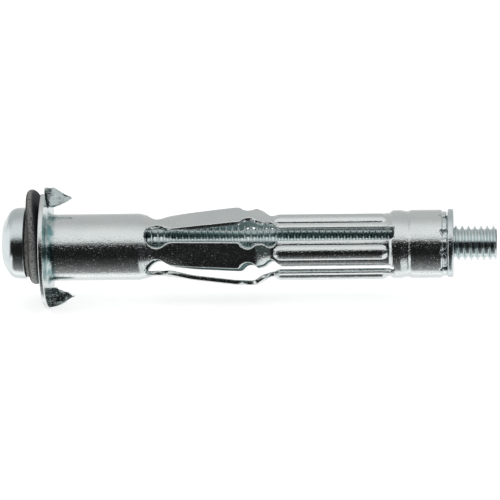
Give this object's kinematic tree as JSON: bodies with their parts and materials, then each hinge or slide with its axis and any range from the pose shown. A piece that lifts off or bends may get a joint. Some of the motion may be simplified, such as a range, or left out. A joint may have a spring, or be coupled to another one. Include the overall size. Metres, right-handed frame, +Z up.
{
  "type": "hollow wall anchor",
  "caption": "Metal hollow wall anchor: clawed flange, slotted sleeve with bowed legs, locked nut, pan head machine screw and rubber ring under the head.",
  "frame": {"origin": "on the sleeve's axis, in the plane of the flange face that bears on the wall", "axes": "+X along the axis from the flange to the screw's tip, +Z up, with the notch beside the lower claw straight down: the anchor lies on its side on that notch's edges and on the nut's collar"},
  "size_m": [0.0558, 0.0136, 0.0134],
  "materials": {
    "zinc_sheet": "bright blue zinc plating",
    "zinc_nut": "bright blue zinc plating",
    "zinc_screw": "bright blue zinc plating",
    "black_rubber": "matt, worn grey on the edge"
  },
  "bodies": {
    "anchor": {"sleeve": "zinc_sheet", "nut": "zinc_nut"},
    "ring": {"sealing_ring": "black_rubber"},
    "screw": {"screw": "zinc_screw"}
  },
  "joints": [
    {"name": "screw_travel", "type": "slide", "parent": "anchor", "child": "ring", "axis": [0.9999, 0, -0.0113], "range_m": [-0.0091, 0]},
    {"name": "screw_turn", "type": "hinge", "parent": "ring", "child": "screw", "pos_m": [0.04351, 0, 0], "axis": [0.9999, 0, -0.0113], "range_deg": [-4681, 0]}
  ],
  "couplings": [
    {"joint": "screw_turn", "follows": "screw_travel", "rad_per_m": 8976}
  ]
}
